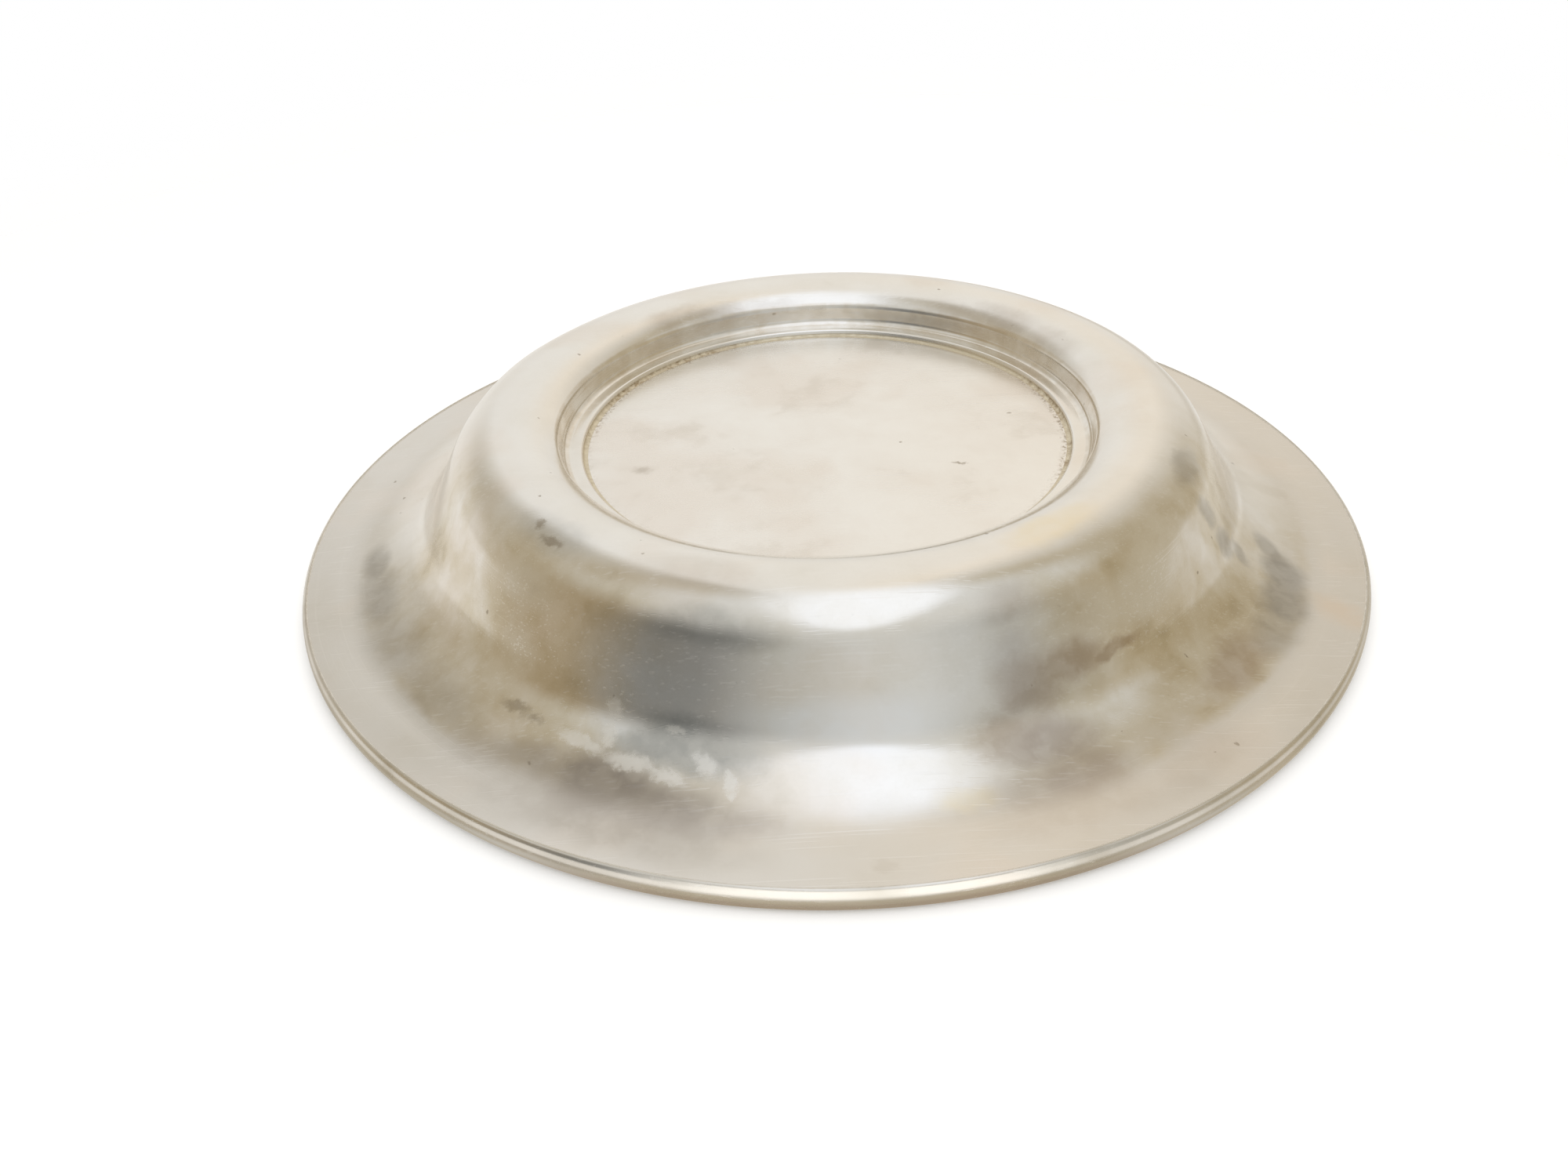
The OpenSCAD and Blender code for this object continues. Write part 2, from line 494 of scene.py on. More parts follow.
# Solder: lumps and patches of residue
LUMPS = (0.9, 5.0, 0.65, 0.3)
LUMP_LIMITS = (0.35, 0.65)
LUMP_STRENGTH = 0.7
LUMP_DULL_LIMITS = (0.3, 0.7)
LUMP_DULL = (-0.1, 0.15)
RESIDUE = (0.12, 3.0, 0.5)
RESIDUE_LIMITS = (0.35, 0.6, 0.3, 1.0)
RESIDUE_HEAVY = 0.75
RESIDUE_LIGHT = 0.25
RESIDUE_METAL_LOSS = 0.75


# Places and masks on the metal
def millimetres(tree):
    """Place on the bowl in millimetres, with its radius and the direction around the axis."""
    mm = vector(tree, "SCALE", {0: local_place(tree), "Scale": 1 / MM})
    parts = split(tree, mm)
    flat = node(tree, "ShaderNodeCombineXYZ", {0: parts[0], 1: parts[1]}).outputs[0]
    unit = split(tree, vector(tree, "NORMALIZE", {0: flat}))
    return mm, length(tree, flat), parts[2], unit[0], unit[1]


def warped(tree, mm, scale, amount):
    """The place shifted by noise, for uneven edges."""
    shift = node(tree, "ShaderNodeTexNoise", {
        "Vector": mm, "Scale": scale, "Detail": WARP_DETAIL, "Roughness": WARP_ROUGHNESS,
    }).outputs["Color"]
    shift = vector(tree, "SUBTRACT", {0: shift, 1: (0.5, 0.5, 0.5)})
    return vector(tree, "MULTIPLY_ADD", {0: shift, 1: (amount,) * 3, 2: mm})


def ground(tree):
    """Places, masks and noises that all the wear of the silver shares."""
    mm, radius, height, east, north = millimetres(tree)
    loose = warped(tree, mm, *LOOSE)
    gentle = warped(tree, mm, *GENTLE)
    normal = node(tree, "ShaderNodeTexCoord").outputs["Normal"]
    return SimpleNamespace(
        mm=mm, radius=radius, height=height, east=east, north=north,
        loose=loose, gentle=gentle, ragged=warped(tree, mm, *RAGGED),
        reach=flat_length(tree, gentle),
        under=step(tree, split(tree, normal)[2], *UNDERSIDE),
        haze=noise(tree, mm, *HAZE),
        mottle=noise(tree, loose, *MOTTLE),
        grain=noise(tree, mm, *GRAIN),
    )


def streaks(tree, place, marks):
    """The strongest of a list of marks: centre, turn, length and width, soft edge and share."""
    total = None
    for centre, turn, size, soft, share in marks:
        local = node(tree, "ShaderNodeMapping", {
            "Vector": place, "Location": centre,
            "Rotation": (0, 0, math.radians(turn)), "Scale": (*size, size[1]),
        }, vector_type="TEXTURE").outputs[0]
        one = step(tree, length(tree, local), 1.0 + soft, 1.0 - soft * MARK_INNER_SOFT, 0.0, share)
        total = one if total is None else calc(tree, "MAXIMUM", total, one)
    return total


def hairlines(tree, mm):
    """Long thin scratches in several directions."""
    total = None
    for turn in HAIRLINE_TURNS:
        place = node(tree, "ShaderNodeMapping", {
            "Vector": mm, "Rotation": (*HAIRLINE_LEAN, turn), "Scale": HAIRLINE_STRETCH,
        }).outputs[0]
        thin = step(tree, noise(tree, place, *HAIRLINE_NOISE), *HAIRLINE_LIMITS)
        total = thin if total is None else calc(tree, "MAXIMUM", total, thin)
    return total


def ring_lines(tree, at):
    """Fine lines that run around the bowl."""
    place = node(tree, "ShaderNodeCombineXYZ", {
        0: calc(tree, "MULTIPLY", at.east, RING_AROUND),
        1: calc(tree, "MULTIPLY", at.north, RING_AROUND),
        2: calc(tree, "MULTIPLY", calc(tree, "ADD", at.radius, at.height), RING_ACROSS),
    }).outputs[0]
    return step(tree, noise(tree, place, 1.0), *RING_LIMITS)


def specks(tree, at):
    """Small round specks."""
    cells = node(tree, "ShaderNodeTexVoronoi", {"Vector": at.loose, "Scale": SPECK_SCALE}, feature="F1")
    chance = node(tree, "ShaderNodeSeparateColor", {0: cells.outputs["Color"]}).outputs[0]
    size = step(tree, cells.outputs["Distance"], *SPECK_SIZE)
    return calc(tree, "MULTIPLY", size, step(tree, chance, *SPECK_CHANCE))


def crusted(tree, east, north):
    """Where the residue around the disc is heavy."""
    aim = calc(tree, "MULTIPLY_ADD", east, CRUST_AIM[0], calc(tree, "MULTIPLY", north, CRUST_AIM[1]))
    return calc(tree, "MAXIMUM", step(tree, aim, *CRUST_AIM_LIMITS), step(tree, east, *CRUST_WEST_LIMITS))


# Wear of the silver
def bare(tree, at, base, outer):
    """Bare metal with its haze and a warm tint."""
    colour = blend(tree, step(tree, at.reach, *OUTER_START), base, outer)
    hazy = blend(tree, HAZE_MIX, colour, outer)
    colour = blend(tree, step(tree, at.haze, *HAZE_LIMITS), colour, hazy)
    tint = step(tree, noise(tree, at.loose, *TINT), *TINT_LIMITS)
    return blend(tree, tint, colour, TINT_TONE)


def tarnish_clouds(tree, at, most, least):
    """Shares of the light and the deep tarnish."""
    front = calc(tree, "MULTIPLY", step(tree, at.north, *FRONT), FRONT_LOSS)
    amount = calc(tree, "MULTIPLY", step(tree, at.radius, *BELT_START), step(tree, at.reach, *BELT_END))
    amount = calc(tree, "MULTIPLY", amount, calc(tree, "SUBTRACT", 1.0, front))
    amount = calc(tree, "MULTIPLY", amount, step(tree, at.north, *BACK))
    amount = calc(tree, "MULTIPLY_ADD", amount, most - least, least)
    amount = calc(tree, "MULTIPLY", amount, calc(tree, "MULTIPLY_ADD", at.under, UNDER_SHARE, INSIDE_SHARE))
    cloud = noise(tree, at.loose, *CLOUD)
    cloud = calc(tree, "MULTIPLY_ADD", cloud, CLOUD_SHARE, calc(tree, "MULTIPLY", at.mottle, MOTTLE_SHARE))
    light = calc(tree, "MULTIPLY", step(tree, cloud, *STAIN_LIMITS), amount)
    return light, calc(tree, "MULTIPLY", step(tree, cloud, *DEEP_LIMITS), amount)


def add_stains_and_painted_light(tree, at, colour, stains_and_painted_light, painted_light):
    """Stains and painted reflections with uneven edges, and patches of painted shade, reflection and
    highlight with soft ones, on the underside.
    """
    for place, tone, marks in [(at.loose, *one) for one in stains_and_painted_light] + [(at.gentle, *one) for one in painted_light]:
        patch = calc(tree, "MULTIPLY", streaks(tree, place, marks), step(tree, at.mottle, *PATCH_LIMITS))
        colour = blend(tree, calc(tree, "MULTIPLY", patch, at.under), colour, tone)
    return colour


def marked(tree, at, colour, dull, marks, mask, tone, strength):
    """Scuffs or pits with ragged edges."""
    share = calc(tree, "MULTIPLY", streaks(tree, at.ragged, marks), mask)
    return blend(tree, share, colour, tone), added(tree, dull, share, strength)


def dull_riser(tree, at, colour, dull, rings, inner, outer):
    """A dull band between two radii in the recess."""
    start = step(tree, at.radius, inner, inner + RISER_EDGE)
    band = calc(tree, "MULTIPLY", start, step(tree, at.radius, outer + RISER_EDGE, outer))
    band = calc(tree, "MULTIPLY", band, step(tree, at.height, *RISER_TOP))
    uneven = calc(tree, "MULTIPLY_ADD", rings, RISER_RINGS, step(tree, at.mottle, *RISER_MOTTLE))
    band = calc(tree, "MULTIPLY", band, uneven)
    return blend(tree, band, colour, RISER_TONE), calc(tree, "MULTIPLY_ADD", band, RISER_DULL, dull)


def crusty_edge(tree, at, colour, dull, limits):
    """Residue around the edge of the disc, on the underside."""
    edge = calc(tree, "MULTIPLY", step(tree, flat_length(tree, at.ragged), *limits), at.under)
    crumbs = step(tree, noise(tree, at.mm, *CRUMBS), *CRUMB_LIMITS)
    heavy = calc(tree, "MULTIPLY_ADD", crusted(tree, at.east, at.north), CRUST_HEAVY, CRUST_LIGHT)
    crust = calc(tree, "MULTIPLY", calc(tree, "MULTIPLY", edge, crumbs), heavy)
    return blend(tree, crust, colour, CRUST_TONE), added(tree, dull, crust, CRUST_DULL)


def silver(name, base, outer, tarnish, rough, scratch, dirt=(), riser=(),
           dark_marks=(), pale_marks=(), stains_and_painted_light=(), painted_light=()):
    """Worn silver: haze, tarnish clouds, ring lines and hairlines, specks and single marks, and patches of
    painted shade, reflection and highlight.
    """
    material, tree = new_material(name)
    at = ground(tree)
    rings = ring_lines(tree, at)
    lines = calc(tree, "MAXIMUM", calc(tree, "MULTIPLY", rings, RING_SHARE), hairlines(tree, at.mm))
    lines = calc(tree, "MULTIPLY", lines, scratch)
    light, deep = tarnish_clouds(tree, at, *tarnish[1:])
    colour = bare(tree, at, base, outer)
    colour = blend(tree, light, colour, tarnish[0])
    colour = coat(tree, colour, deep, DEEP_SHARE, DEEP_TONE)
    colour = coat(tree, colour, step(tree, at.grain, *GRAIN_LIMITS), GRAIN_SHARE, GRAIN_TONE)
    colour = coat(tree, colour, lines, LINE_SHARE, LINE_TONE)
    colour = coat(tree, colour, specks(tree, at), SPECK_SHARE, SPECK_TONE)
    colour = add_stains_and_painted_light(tree, at, colour, stains_and_painted_light, painted_light)
    dull = added(tree, step(tree, at.haze, *DULL_LIMITS, *rough), lines, LINE_DULL)
    dull = added(tree, dull, light, STAIN_DULL)
    if pale_marks:
        mask = calc(tree, "MULTIPLY", at.under, PALE_SHARE)
        colour, dull = marked(tree, at, colour, dull, pale_marks, mask, PALE_TONE, PALE_DULL)
    if dark_marks:
        colour, dull = marked(tree, at, colour, dull, dark_marks, at.under, DARK_TONE, DARK_DULL)
    if riser:
        colour, dull = dull_riser(tree, at, colour, dull, rings, *riser)
    if dirt:
        colour, dull = crusty_edge(tree, at, colour, dull, dirt)
    relief = added(tree, calc(tree, "MULTIPLY", lines, LINE_RELIEF), at.grain, GRAIN_RELIEF)
    bump = node(tree, "ShaderNodeBump", {
        "Height": relief, "Strength": RELIEF_STRENGTH, "Distance": RELIEF_HEIGHT,
    }).outputs[0]
    show_metal(tree, colour, 1.0, dull, bump)
    return material


def solder(name, base, dark, rough, crust, cover, patchy):
    """Dull solder with a crust of residue."""
    material, tree = new_material(name)
    mm, _, _, east, north = millimetres(tree)
    lumps = noise(tree, mm, *LUMPS)
    patches = step(tree, noise(tree, mm, *RESIDUE), *RESIDUE_LIMITS)
    share = calc(tree, "MULTIPLY", step(tree, lumps, *LUMP_LIMITS), patches)
    share = calc(tree, "MULTIPLY", share, cover)
    if patchy:
        heavy = calc(tree, "MULTIPLY_ADD", crusted(tree, east, north), RESIDUE_HEAVY, RESIDUE_LIGHT)
        share = calc(tree, "MULTIPLY", share, heavy)
    colour = blend(tree, share, base, dark)
    bump = node(tree, "ShaderNodeBump", {
        "Height": lumps, "Strength": LUMP_STRENGTH, "Distance": crust,
    }).outputs[0]
    metal = calc(tree, "SUBTRACT", 1.0, calc(tree, "MULTIPLY", share, RESIDUE_METAL_LOSS))
    dull = step(tree, lumps, *LUMP_DULL_LIMITS, rough + LUMP_DULL[0], rough + LUMP_DULL[1])
    show_metal(tree, colour, metal, dull, bump)
    return material


# Single marks on the underside: centre, turn, half length and width in millimetres, soft edge and share
BODY_DARK_MARKS = [
    ((38.3, -32.3, 0.4), 60, (0.7, 0.5), 1.0, 0.55),
    ((36.6, -35.8, 0.9), 40, (1.5, 0.5), 1.0, 0.55),
    ((41.5, -49.2, 16.5), 30, (1.5, 0.5), 1.2, 0.5),
    ((39.2, -51.4, 16.9), 30, (1.2, 0.4), 1.2, 0.45),
]
BODY_PALE_MARKS = [
    ((32.8, -56.1, 16.9), 35, (2.6, 0.7), 0.9, 0.9),
    ((29.4, -56.6, 16.0), 100, (2.2, 0.7), 0.9, 0.85),
    ((28.6, -54.6, 13.6), 80, (1.8, 0.9), 0.9, 0.75),
    ((26.9, -59.8, 17.2), 20, (2.4, 0.8), 0.9, 0.9),
    ((24.6, -60.6, 17.2), 70, (1.2, 0.5), 0.9, 0.75),
    ((22.4, -62.2, 17.6), 30, (1.8, 0.7), 0.9, 0.85),
    ((21.1, -57.6, 14.4), 15, (1.0, 0.4), 0.9, 0.6),
    ((17.5, -61.5, 16.6), 60, (1.6, 0.8), 0.9, 0.8),
    ((14.7, -64.4, 17.4), 80, (1.6, 0.6), 0.9, 0.8),
]
PLATE_DARK_MARKS = [
    ((27.3, -8.2, 6.6), 20, (0.7, 0.6), 2.0, 0.3),
    ((-19.0, -10.3, 6.6), 10, (0.9, 0.25), 0.9, 0.6),
]

# Tones of the stains and of the patches of painted shade, reflection and highlight
RUST_BROWN = (0.42, 0.315, 0.21, 1)
WARM_GREY = (0.42, 0.40, 0.36, 1)
HAZE_BROWN = (0.56, 0.50, 0.44, 1)
COOL_GREY = (0.47, 0.48, 0.47, 1)
STRAW = (0.93, 0.83, 0.61, 1)
ROSE = (0.86, 0.73, 0.60, 1)
BRIGHT = (0.93, 0.94, 0.95, 1)
DARK_GREY = (0.38, 0.35, 0.33, 1)
SHADOW_GREY = (0.42, 0.42, 0.40, 1)
SOFT_BROWN = (0.50, 0.44, 0.39, 1)
BRIM_GREY = (0.52, 0.48, 0.43, 1)
BRIM_TAN = (0.60, 0.53, 0.45, 1)

BODY_STAINS_AND_PAINTED_LIGHT = [
    (RUST_BROWN, [
        ((-21.3, -55.4, 11.8), -25, (3.2, 2.6), 1.1, 0.6),
        ((-26.0, -53.0, 10.8), -28, (3.8, 1.6), 1.1, 0.65),
        ((-33.0, -49.6, 11.3), -32, (5.0, 0.7), 0.9, 0.6),
        ((-18.0, -60.0, 15.6), -17, (3.2, 2.2), 1.1, 0.5),
        ((-50.4, -45.2, 18.2), 130, (5.0, 2.2), 1.1, 0.55),
        ((-2.1, -76.2, 19.4), 0, (1.0, 0.7), 1.0, 0.1),
    ]),
    (WARM_GREY, [
        ((-50.4, -26.4, 6.8), 62, (1.0, 2.4), 0.8, 0.6),
        ((-53.6, -26.4, 12.0), 62, (1.2, 2.4), 0.8, 0.7),
        ((-56.4, -24.9, 14.6), 62, (1.8, 1.2), 0.8, 0.6),
        ((-48.0, -22.6, 1.8), 115, (3.6, 1.5), 0.9, 0.5),
    ]),
    (HAZE_BROWN, [
        ((23.9, 34.3, 1.2), -35, (4.5, 1.8), 1.0, 0.45),
        ((16.0, 37.3, 2.3), -22, (4.5, 1.6), 1.0, 0.5),
        ((8.0, 39.5, 3.0), -11, (4.0, 1.4), 1.0, 0.35),
        ((-24.3, 32.5, 2.2), 37, (4.5, 1.6), 1.0, 0.4),
        ((-31.5, 27.8, 1.1), 48, (4.5, 1.8), 1.0, 0.45),
        ((-37.6, 18.8, 1.1), 63, (4.0, 1.6), 1.0, 0.35),
    ]),
    # Cool grey on the left flare is a painted reflection; the second patch lies on the left foot
    (COOL_GREY, [
        ((20.5, -59.4, 15.4), 17, (7.5, 2.6), 0.9, 0.85),
        ((36.6, -34.2, 0.6), 45, (5.0, 2.0), 1.0, 0.35),
    ]),
    (STRAW, [
        ((-26.3, -38.8, 0.0), -34, (5.0, 1.8), 1.1, 0.55),
        ((-12.6, -67.6, 18.5), -10, (2.6, 1.0), 1.1, 0.5),
    ]),
    (ROSE, [
        ((-68.2, -33.9, 19.4), 64, (3.0, 1.8), 1.2, 0.55),
    ]),
    # Bright: a painted reflection that lightens the right wall, and pale patches on the left wall and
    # shoulder
    (BRIGHT, [
        ((-36.6, -43.8, 7.2), -40, (5.5, 2.6), 1.1, 0.6),
        ((28.6, -54.6, 14.8), 30, (3.0, 1.1), 0.9, 0.7),
        ((40.0, -39.2, 5.4), 45, (4.0, 2.0), 1.1, 0.4),
    ]),
]
# Painted light with soft edges: dark painted reflections in the flare and shoulder, a painted highlight on
# the lower wall, and painted shade on the near brim
BODY_PAINTED_LIGHT = [
    # Dark hooks and their tails along the left and right flare: painted reflection
    (WARM_GREY, [
        ((68.0, -13.0, 18.6), 82, (4.2, 1.5), 1.0, 0.65),
        ((65.6, -21.0, 18.7), 72, (5.5, 2.2), 1.1, 0.55),
        ((60.5, -32.5, 18.7), 62, (6.0, 2.6), 1.2, 0.35),
        ((52.8, -44.5, 18.8), 50, (6.0, 2.6), 1.2, 0.35),
        ((-62.4, -20.6, 17.3), 65, (2.6, 1.5), 0.8, 0.75),
        ((-62.6, -25.8, 18.0), 98, (4.0, 2.4), 0.8, 0.9),
        ((-60.8, -31.6, 18.2), 113, (4.6, 2.5), 0.9, 0.85),
        ((-58.2, -37.4, 18.5), 123, (4.4, 2.2), 1.0, 0.5),
    ]),
    # Dark band on the near left flare: painted reflection
    (DARK_GREY, [
        ((36.4, -58.6, 18.4), 32, (4.5, 1.6), 1.2, 0.45),
        ((29.6, -62.2, 18.3), 25, (5.4, 2.7), 1.1, 0.95),
        ((22.4, -66.0, 18.5), 18, (5.0, 2.3), 1.1, 0.75),
        ((15.0, -69.2, 18.7), 12, (4.4, 1.6), 1.2, 0.45),
    ]),
    # Dark patch on the front left shoulder: painted reflection
    (SHADOW_GREY, [
        ((16.0, -52.2, 3.4), 17, (5.5, 1.8), 1.0, 0.55),
    ]),
    # Light band low on the front wall, above the flare: painted highlight
    (BRIGHT, [
        ((1.0, -59.9, 12.6), 0, (10.0, 2.4), 1.1, 0.85),
    ]),
    # Brownish patches on the right flare and at the edge of the right wall: painted reflection
    (SOFT_BROWN, [
        ((-21.5, -65.6, 18.3), -17, (4.2, 2.4), 1.1, 0.35),
        ((-26.4, -63.6, 18.4), -22, (4.6, 2.4), 1.1, 0.6),
        ((-23.5, -60.2, 16.8), -20, (4.6, 2.2), 1.1, 0.75),
        ((-19.2, -50.8, 3.0), -20, (3.0, 1.7), 1.1, 0.4),
        ((-20.4, -55.2, 9.7), -20, (2.6, 3.8), 1.1, 0.35),
    ]),
    # Grey on the near left brim: painted shade
    (BRIM_GREY, [
        ((28.0, -67.4, 19.2), 22, (10.0, 3.0), 1.2, 0.75),
        ((38.0, -62.6, 19.2), 32, (6.5, 2.4), 1.2, 0.5),
        ((44.9, -55.5, 18.9), 39, (4.6, 2.0), 1.2, 0.45),
        ((21.0, -71.6, 19.4), 16, (7.0, 2.0), 1.2, 0.35),
    ]),
    # Tan on the near right brim, and one patch low on the left: painted shade
    (BRIM_TAN, [
        ((-27.0, -68.5, 19.3), -21, (7.0, 2.2), 1.2, 0.35),
        ((-41.0, -62.5, 19.4), -33, (6.0, 2.0), 1.2, 0.35),
        ((17.0, -45.2, 0.2), 21, (5.0, 1.8), 1.2, 0.3),
        ((-21.7, -70.2, 19.2), -17, (5.0, 2.0), 1.2, 0.35),
    ]),
]

# Finishes: tones of the metal, tarnish with its most and least share, roughness and radii in millimetres
BODY_BASE = (0.94, 0.925, 0.895, 1)
BODY_OUTER = (0.815, 0.79, 0.75, 1)
BODY_TARNISH = ((0.67, 0.58, 0.40, 1), 0.80, 0.10)
BODY_ROUGH = (0.11, 0.19)
BODY_RISER = (38.4, 40.2)
BODY_SCRATCH = 1.0
PLATE_BASE = (0.98, 0.967, 0.938, 1)
PLATE_TARNISH = ((0.86, 0.79, 0.72, 1), 0.3, 0.3)
PLATE_ROUGH = (0.2, 0.27)
PLATE_CRUST = (34.8, 36.2)
PLATE_SCRATCH = 0.5
WIRE_BASE = (0.86, 0.83, 0.77, 1)
WIRE_OUTER = (0.84, 0.81, 0.76, 1)
WIRE_TARNISH = ((0.60, 0.565, 0.49, 1), 0.5, 0.5)
WIRE_ROUGH = (0.18, 0.28)
WIRE_SCRATCH = 1.0

# Solder: clean and crusted tone, roughness, height of the crust in metres, cover, and if it is patchy
BASE_SOLDER = ((0.80, 0.73, 0.58, 1), (0.27, 0.19, 0.10, 1), 0.42, 0.0001, 1.0, True)
RIM_SOLDER = ((0.84, 0.81, 0.75, 1), (0.42, 0.35, 0.25, 1), 0.55, 0.00004, 0.4, False)


# Pieces
def make_body():
    under = under_inward_side()[::-1] + outward_side(0)
    under += line(under[-1], brim_end_under)
    over = line(brim_end_under, brim_end_over) + outward_side(SHEET_T)[::-1] + over_inward_side()
    mesh = turned("bowl_sheet", under + over, body_wave)
    look = silver("silver_body", BODY_BASE, BODY_OUTER, BODY_TARNISH, BODY_ROUGH, BODY_SCRATCH,
                  riser=BODY_RISER, dark_marks=BODY_DARK_MARKS, pale_marks=BODY_PALE_MARKS,
                  stains_and_painted_light=BODY_STAINS_AND_PAINTED_LIGHT, painted_light=BODY_PAINTED_LIGHT)
    finish_piece("bowl_sheet", mesh, "bowl_body", "body_silver", look)


def make_plate():
    top = ledge_top + PLATE_T
    edge = np.array([plate_r, top - PLATE_EDGE_R])
    points = [np.array([0.0, ledge_top])]
    points += line(points[-1], [plate_r, ledge_top], PLATE_STEP)
    points += line(points[-1], edge)
    points += arc(edge, 90, PLATE_EDGE_R, 90, EDGE_STEP)
    points += line(points[-1], [0.0, top], PLATE_STEP)
    mesh = turned("base_disc", points, closed=False)
    look = silver("silver_plate", PLATE_BASE, PLATE_BASE, PLATE_TARNISH, PLATE_ROUGH, PLATE_SCRATCH,
                  dirt=PLATE_CRUST, dark_marks=PLATE_DARK_MARKS)
    finish_piece("base_disc", mesh, "base_plate", "plate_silver", look)


def make_wire():
    points = [np.array([wire_back_r + WIRE_T * math.cos(a), wire_mid_h + WIRE_H / 2 * math.sin(a)])
              for a in np.radians(np.arange(-90, 91, WIRE_STEP))]
    points += line(points[-1], points[0])[:-1]
    mesh = turned("rim_bead", points)
    look = silver("silver_wire", WIRE_BASE, WIRE_OUTER, WIRE_TARNISH, WIRE_ROUGH, WIRE_SCRATCH)
    finish_piece("rim_bead", mesh, "rim_wire", "wire_silver", look)


def make_base_seam():
    corner = np.array([opening_r, ledge_top])
    points = [corner]
    for a in np.radians(np.arange(90, -1, -BASE_SEAM_STEP)):
        points.append(corner + [BASE_FILLET_W * (math.cos(a) - 1), BASE_FILLET_H * (math.sin(a) - 1)])
    mesh = turned("base_seam", points)
    look = solder("solder_base", *BASE_SOLDER)
    finish_piece("base_seam", mesh, "base_solder_seam", "base_solder", look)


def make_rim_seam():
    points = []
    for a in np.radians(np.arange(0, 91, EDGE_STEP)):
        inward = (WIRE_DROP + SOLDER_GAP) * (1 - math.sin(a))
        points.append(at_brim(brim_end_under, inward, WIRE_DROP * (math.cos(a) - 1)))
    for a in np.radians(np.arange(90, -1, -EDGE_STEP)):
        inward = (RIM_FILLET_W + SOLDER_GAP) * (1 - math.sin(a))
        points.append(at_brim(brim_end_over, inward, RIM_FILLET_W * (1 - math.cos(a))))
    points += [brim_end_over, brim_end_under]
    mesh = turned("rim_seam", points)
    look = solder("solder_rim", *RIM_SOLDER)
    finish_piece("rim_seam", mesh, "rim_solder_seam", "rim_solder", look)


# Studio: tones of the soft cards of the light tent, and where each stands, by azimuth from the camera
TONES = {
    "pale": (0.85, 0.82, 0.765),
    "cool": (0.83, 0.81, 0.772),
    "warm": (0.86, 0.79, 0.69),
    "stone": (0.55, 0.515, 0.45),
    "cream": (0.65, 0.605, 0.53),
    "tan": (0.49, 0.43, 0.325),
    "brown": (0.395, 0.325, 0.22),
    "sand": (0.48, 0.415, 0.30),
    "dark": (0.215, 0.215, 0.205),
    "grey": (0.47, 0.465, 0.435),
    "silver": (0.64, 0.64, 0.62),
}
CARDS = [
    (-180, "pale"), (-156, "cool"), (-138, "stone"), (-100, "tan"), (-72, "brown"), (-50, "dark"),
    (-36, "dark"), (-18, "grey"), (5, "silver"), (20, "silver"), (45, "grey"), (75, "sand"),
    (112, "sand"), (135, "cream"), (158, "warm"), (180, "pale"),
]
TENT_R = 1.5
TENT_SEGMENTS = 64
TENT_RINGS = 32

# Pale tone low down on the far side, less of it on one side, by degrees above the horizon
LOW = (0.80, 0.77, 0.72)
LOW_HEIGHT = (22, 3)
LOW_BACK = (0.0, -0.7)
LOW_SIDE = (0.1, 0.7, 1.0, 0.35)

# Middle tone high up in front and at the sides
UPPER = (0.67, 0.66, 0.625)
UPPER_HEIGHT = (25, 52)
UPPER_FRONT = (-0.3, 0.1)

# White panel over the base, set to the front, and a softer one over the inside
PANEL = (1.03, 1.055, 1.10)
PANEL_ABOVE = (0.88, 0.88, 0.86)
PANEL_ABOVE_LIMITS = (-0.1, 0.1)
PANEL_MIDDLE = (0.075, 0.29)
PANEL_HALF = (0.30, 0.62)
PANEL_SOFT = (1.3, 0.75)

# Floor, which fades into the white around it, in metres
FLOOR_R = 0.5
STAGE_SEGMENTS = 96
FLOOR_HOLE_R = 0.0001
FLOOR_GAP = 0.0001
FLOOR_FADE = (0.16, 0.32)
FLOOR_TONE = (0.92, 0.92, 0.92, 1)
FLOOR_GLOW = 0.25
WHITE = (1, 1, 1, 1)

# Pale card around the rim, creamy on one side, in metres
CARD_RING = (0.84, 0.81, 0.76)
CARD_RING_HOLE_R = 0.0835
CARD_GAP = 0.0002
CREAM_NEAR = (0.03, -0.01)
CREAM_OUT = (0.09, 0.18)
CREAM_SIDE = (-0.02, -0.10)

# Bright strip and brown strip close to the near edge, in metres
NEAR_FADE = (0.0, -0.03)
RIM_CARD = (1.30, 1.28, 1.23)
RIM_CARD_R = 0.0834
RIM_CARD_TOP = 0.0223
RIM_CARD_H = 0.0058
RIM_CARD_HALF = (0.036, 0.010)
RIM_SHADE = (0.40, 0.33, 0.25)
RIM_SHADE_R = 0.0793
RIM_SHADE_HALF = (0.05, 0.02)
RIM_SHADE_TURN = (0.0803, 0.0816)

# Soft lamps above and below
LAMP_DISTANCE = 0.6
LAMP_SIZE = 0.8
LAMP_POWER = 3.0


def glowing(tree, colour):
    return node(tree, "ShaderNodeEmission", {"Color": colour, "Strength": 1.0}).outputs[0]


def mixed(tree, share, a, b):
    return node(tree, "ShaderNodeMixShader", {0: share, 1: a, 2: b}).outputs[0]


def see_through(tree):
    return node(tree, "ShaderNodeBsdfTransparent").outputs[0]


def panel_reach(tree, across, along):
    """Distance from the middle of the oval panel, 1 at its edge."""
    across = calc(tree, "DIVIDE", calc(tree, "SUBTRACT", across, PANEL_MIDDLE[0]), PANEL_HALF[0])
    along = calc(tree, "DIVIDE", calc(tree, "SUBTRACT", along, PANEL_MIDDLE[1]), PANEL_HALF[1])
    square = calc(tree, "MULTIPLY_ADD", across, across, calc(tree, "MULTIPLY", along, along))
    return calc(tree, "SQRT", square)


